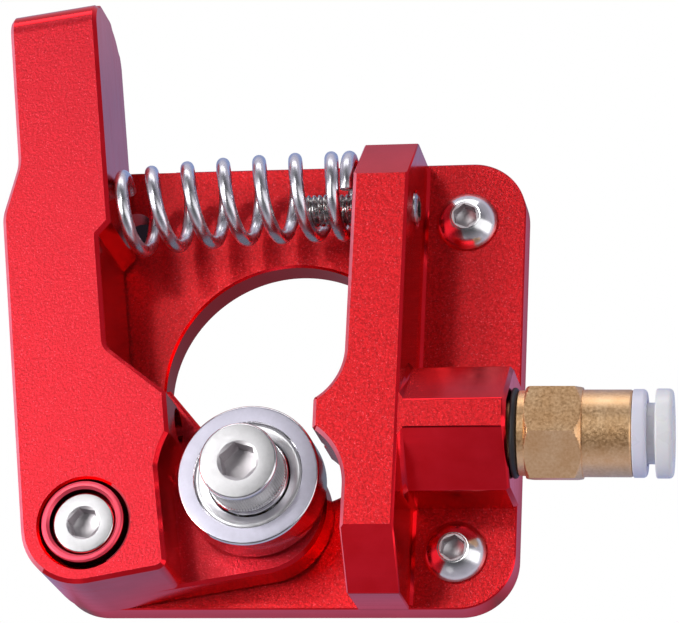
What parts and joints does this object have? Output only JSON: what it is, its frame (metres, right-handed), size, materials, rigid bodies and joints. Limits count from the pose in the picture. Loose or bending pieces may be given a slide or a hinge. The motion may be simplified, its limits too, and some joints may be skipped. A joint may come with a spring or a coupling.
{
  "type": "filament extruder assembly",
  "caption": "Metal filament extruder: motor-mounted plate with guide ridge, sprung idler lever with ball bearing, adjusting screw and push-in tube fitting.",
  "frame": {"origin": "the motor shaft's axis at the plate's motor face", "axes": "+Z along the motor shaft, away from the motor; +X along the filament towards the push-in fitting; +Y towards the free end of the lever"},
  "size_m": [0.0614, 0.0558, 0.0199],
  "materials": {
    "red_anodised": "bead-blasted and red anodised, machined sides smooth",
    "stainless": "polished",
    "bearing_steel": "finely ground",
    "spring_wire": "bright drawn wire",
    "dark_steel": "blackened",
    "brass": "turned, slightly dull",
    "cage_brass": "plain",
    "rubber": "matt black",
    "white_plastic": "smooth moulded"
  },
  "bodies": {
    "frame": {"frame_block": "red_anodised", "motor_screw_upper_right": "stainless", "motor_screw_lower_right": "stainless", "pivot_bush": "red_anodised", "pivot_screw": "stainless", "tension_spring": "spring_wire", "fitting_body": "brass", "fitting_seal": "rubber", "fitting_guard_ring": "white_plastic", "tube_seal": "rubber", "tube_grip_ring": "stainless"},
    "grub_screw": {"tension_grub_screw": "dark_steel"},
    "lever": {"lever_arm": "red_anodised", "bearing_spacer": "stainless", "bearing_screw": "stainless", "bearing_inner_ring": "bearing_steel"},
    "idler_rim": {"bearing_outer_ring": "bearing_steel", "bearing_shield_front": "stainless", "bearing_shield_rear": "stainless"},
    "idler_balls": {"bearing_cage": "cage_brass", "bearing_ball_1": "stainless", "bearing_ball_2": "stainless", "bearing_ball_3": "stainless", "bearing_ball_4": "stainless", "bearing_ball_5": "stainless", "bearing_ball_6": "stainless", "bearing_ball_7": "stainless"},
    "release_collar": {"release_collar": "white_plastic"}
  },
  "joints": [
    {"name": "lever_pivot", "type": "hinge", "parent": "frame", "child": "lever", "pos_m": [-0.0155, -0.0155, 0.0081], "axis": [0, 0, -1], "range_deg": [0, 14], "stiffness_Nm_per_rad": 1.5, "springref_deg": -1.15, "deforming": ["tension_spring"]},
    {"name": "idler_spin", "type": "hinge", "parent": "lever", "child": "idler_rim", "pos_m": [-0.00162, -0.01077, 0.00935], "axis": [0, 0, 1], "continuous": true},
    {"name": "idler_cage_spin", "type": "hinge", "parent": "lever", "child": "idler_balls", "pos_m": [-0.00162, -0.01077, 0.00935], "axis": [0, 0, 1], "continuous": true},
    {"name": "collar_press", "type": "slide", "parent": "frame", "child": "release_collar", "axis": [-0.999, 0, 0.0436], "range_m": [0, 0.0005], "stiffness_N_per_m": 40},
    {"name": "grub_adjust", "type": "slide", "parent": "frame", "child": "grub_screw", "axis": [1, 0, 0], "range_m": [-0.002, 0.003]}
  ],
  "couplings": [
    {"joint": "idler_cage_spin", "follows": "idler_spin", "ratio": 0.607}
  ]
}
